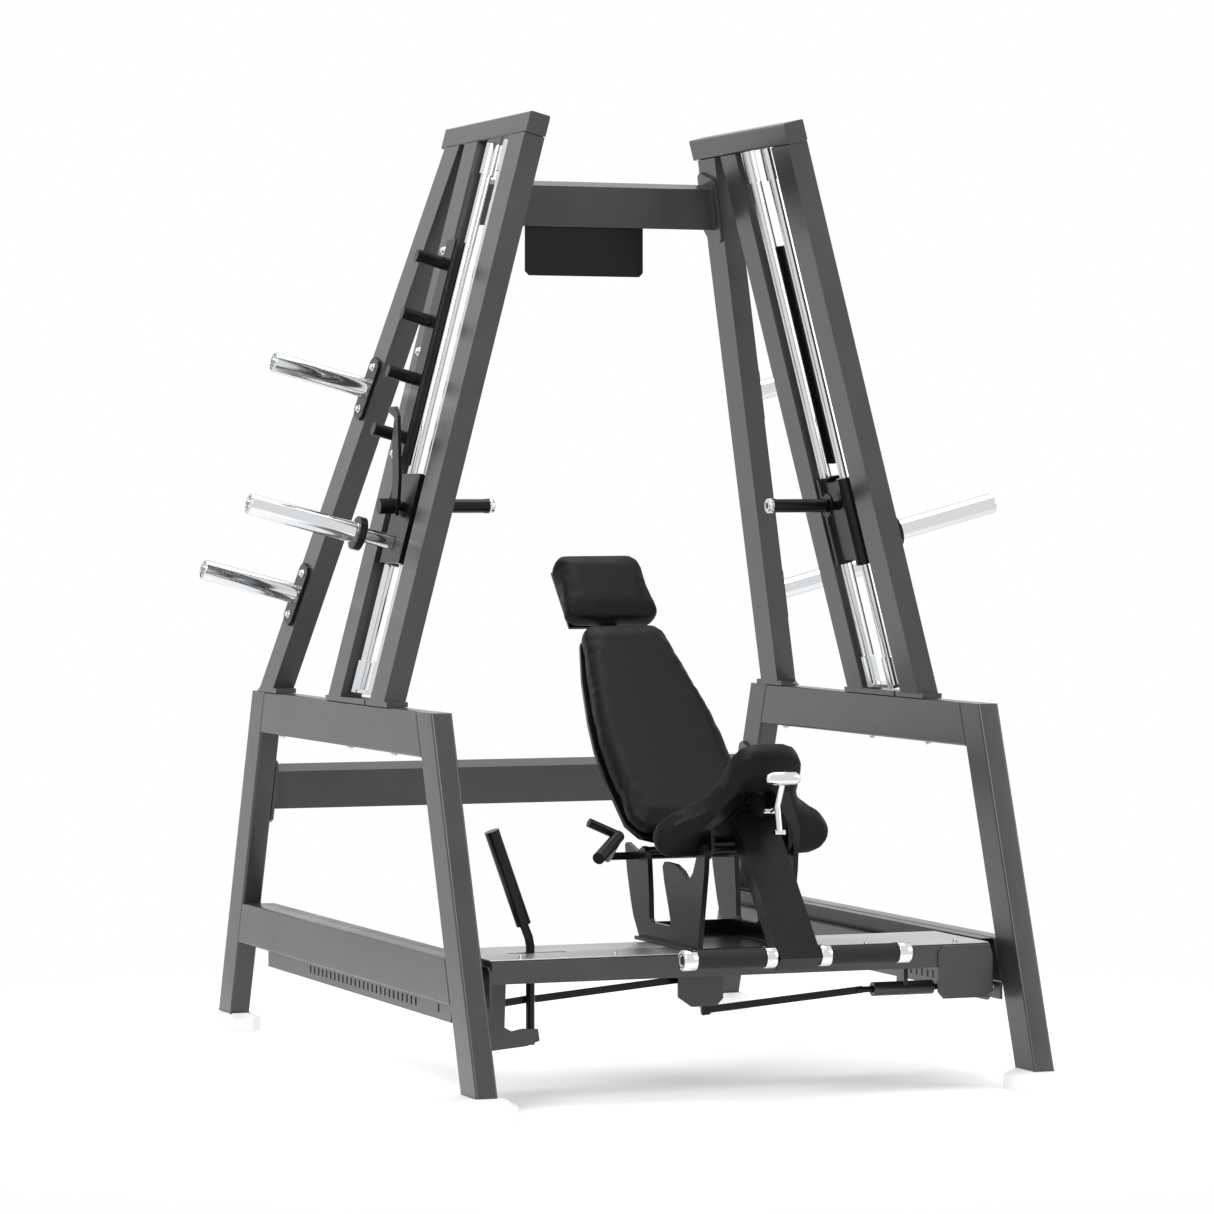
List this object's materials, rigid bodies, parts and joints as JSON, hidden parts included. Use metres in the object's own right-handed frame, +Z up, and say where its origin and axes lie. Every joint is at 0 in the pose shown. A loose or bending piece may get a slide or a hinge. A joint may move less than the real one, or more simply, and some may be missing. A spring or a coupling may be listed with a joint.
{
  "type": "smith machine",
  "caption": "Plate-loaded smith machine with two inward-leaning towers, independent carriages on guide rods, and an adjustable bench on a sliding platform.",
  "frame": {"origin": "on the floor, in the middle of the whole machine's box", "axes": "+Z up, +X across the machine, -Y is the front, where the foot rollers are"},
  "size_m": [1.8772, 2.1212, 2.1969],
  "materials": {
    "frame_paint": "satin",
    "black_paint": "gloss",
    "chrome": "polished",
    "shoe": "satin",
    "deck_steel": "brushed",
    "upholstery": "matte",
    "rubber": "matte"
  },
  "bodies": {
    "frame": {"bench_track_left": "black_paint", "bench_track_right": "black_paint", "cap_beam_left": "frame_paint", "cap_beam_right": "frame_paint", "front_leg_left": "frame_paint", "front_leg_right": "frame_paint", "front_shoe_left": "shoe", "front_shoe_right": "shoe", "front_upright_left": "frame_paint", "front_upright_right": "frame_paint", "guide_rods_left": "chrome", "guide_rods_right": "chrome", "lower_beam_left": "frame_paint", "lower_beam_right": "frame_paint", "lower_crossbeam": "frame_paint", "lower_storage_horn_left": "chrome", "lower_storage_horn_right": "chrome", "mid_upright_left": "frame_paint", "mid_upright_right": "frame_paint", "peg_rack_left": "black_paint", "peg_rack_right": "black_paint", "placard": "black_paint", "rear_leg_left": "frame_paint", "rear_leg_right": "frame_paint", "rear_shoe_left": "shoe", "rear_shoe_right": "shoe", "rear_upright_left": "frame_paint", "rear_upright_right": "frame_paint", "slotted_rail_left": "frame_paint", "slotted_rail_right": "frame_paint", "top_beam_left": "frame_paint", "top_beam_right": "frame_paint", "upper_crossbeam": "frame_paint", "upper_storage_horn_left": "chrome", "upper_storage_horn_right": "chrome"},
    "carriage_left": {"carriage_left": "black_paint", "plate_sleeve_left": "chrome"},
    "carriage_right": {"carriage_right": "black_paint", "plate_sleeve_right": "chrome"},
    "catch_left": {"catch_handle_left": "black_paint"},
    "catch_right": {"catch_handle_right": "black_paint"},
    "platform": {"platform_frame": "frame_paint", "deck_plate": "deck_steel", "bench_base": "black_paint"},
    "lever": {"release_lever": "black_paint"},
    "latch_left": {"left_latch_link": "black_paint"},
    "cross_link": {"cross_link": "black_paint"},
    "bell_crank": {"bell_crank": "black_paint"},
    "latch_right": {"right_latch_link": "black_paint"},
    "back": {"back_frame": "black_paint", "back_pad": "upholstery", "head_pad": "upholstery"},
    "seat": {"seat_frame": "black_paint", "seat_pad": "upholstery", "foot_rollers": "rubber"},
    "seat_handle": {"seat_handle": "chrome"},
    "back_handle": {"back_handle": "black_paint"}
  },
  "joints": [
    {"name": "carriage_left_slide", "type": "slide", "parent": "frame", "child": "carriage_left", "axis": [0.2538, 0, 0.9673], "range_m": [-0.22, 0.7]},
    {"name": "carriage_right_slide", "type": "slide", "parent": "frame", "child": "carriage_right", "axis": [-0.2538, 0, 0.9673], "range_m": [-0.22, 0.7]},
    {"name": "catch_left_turn", "type": "hinge", "parent": "carriage_left", "child": "catch_left", "pos_m": [-0.581, -0.07271, 1.303], "axis": [-1, 0, 0], "range_deg": [0, 18]},
    {"name": "catch_right_turn", "type": "hinge", "parent": "carriage_right", "child": "catch_right", "pos_m": [0.581, -0.07271, 1.303], "axis": [-1, 0, 0], "range_deg": [0, 18]},
    {"name": "platform_slide", "type": "slide", "parent": "frame", "child": "platform", "axis": [0, 1, 0], "range_m": [0, 0.86]},
    {"name": "lever_tilt", "type": "hinge", "parent": "platform", "child": "lever", "pos_m": [-0.455, -0.61571, 0.144], "axis": [0, 1, 0], "range_deg": [-8.9, 8]},
    {"name": "latch_left_slide", "type": "slide", "parent": "platform", "child": "latch_left", "axis": [1, 0, 0], "range_m": [-0.0121, 0.0109]},
    {"name": "cross_link_slide", "type": "slide", "parent": "platform", "child": "cross_link", "axis": [1, 0, 0], "range_m": [-0.0121, 0.0109]},
    {"name": "bell_crank_turn", "type": "hinge", "parent": "platform", "child": "bell_crank", "pos_m": [-0.035, -0.61571, 0.217], "axis": [0, 1, 0], "range_deg": [-18.2, 16.4]},
    {"name": "latch_right_slide", "type": "slide", "parent": "platform", "child": "latch_right", "axis": [-1, 0, 0], "range_m": [-0.0121, 0.0109]},
    {"name": "back_tilt", "type": "hinge", "parent": "platform", "child": "back", "pos_m": [0, -0.42171, 0.52], "axis": [1, 0, 0], "range_deg": [-30, 20]},
    {"name": "seat_tilt", "type": "hinge", "parent": "platform", "child": "seat", "pos_m": [0, -0.76871, 0.55], "axis": [1, 0, 0], "range_deg": [0, 35]},
    {"name": "seat_handle_turn", "type": "hinge", "parent": "seat", "child": "seat_handle", "pos_m": [0, -0.88771, 0.641], "axis": [1, 0, 0], "range_deg": [0, 20]},
    {"name": "back_handle_turn", "type": "hinge", "parent": "platform", "child": "back_handle", "pos_m": [-0.112, -0.35271, 0.509], "axis": [1, 0, 0], "range_deg": [0, 20]}
  ],
  "couplings": [
    {"joint": "latch_left_slide", "follows": "lever_tilt", "m_per_rad": 0.077},
    {"joint": "cross_link_slide", "follows": "lever_tilt", "m_per_rad": 0.077},
    {"joint": "bell_crank_turn", "follows": "lever_tilt", "ratio": 2.026},
    {"joint": "latch_right_slide", "follows": "lever_tilt", "m_per_rad": 0.075}
  ]
}
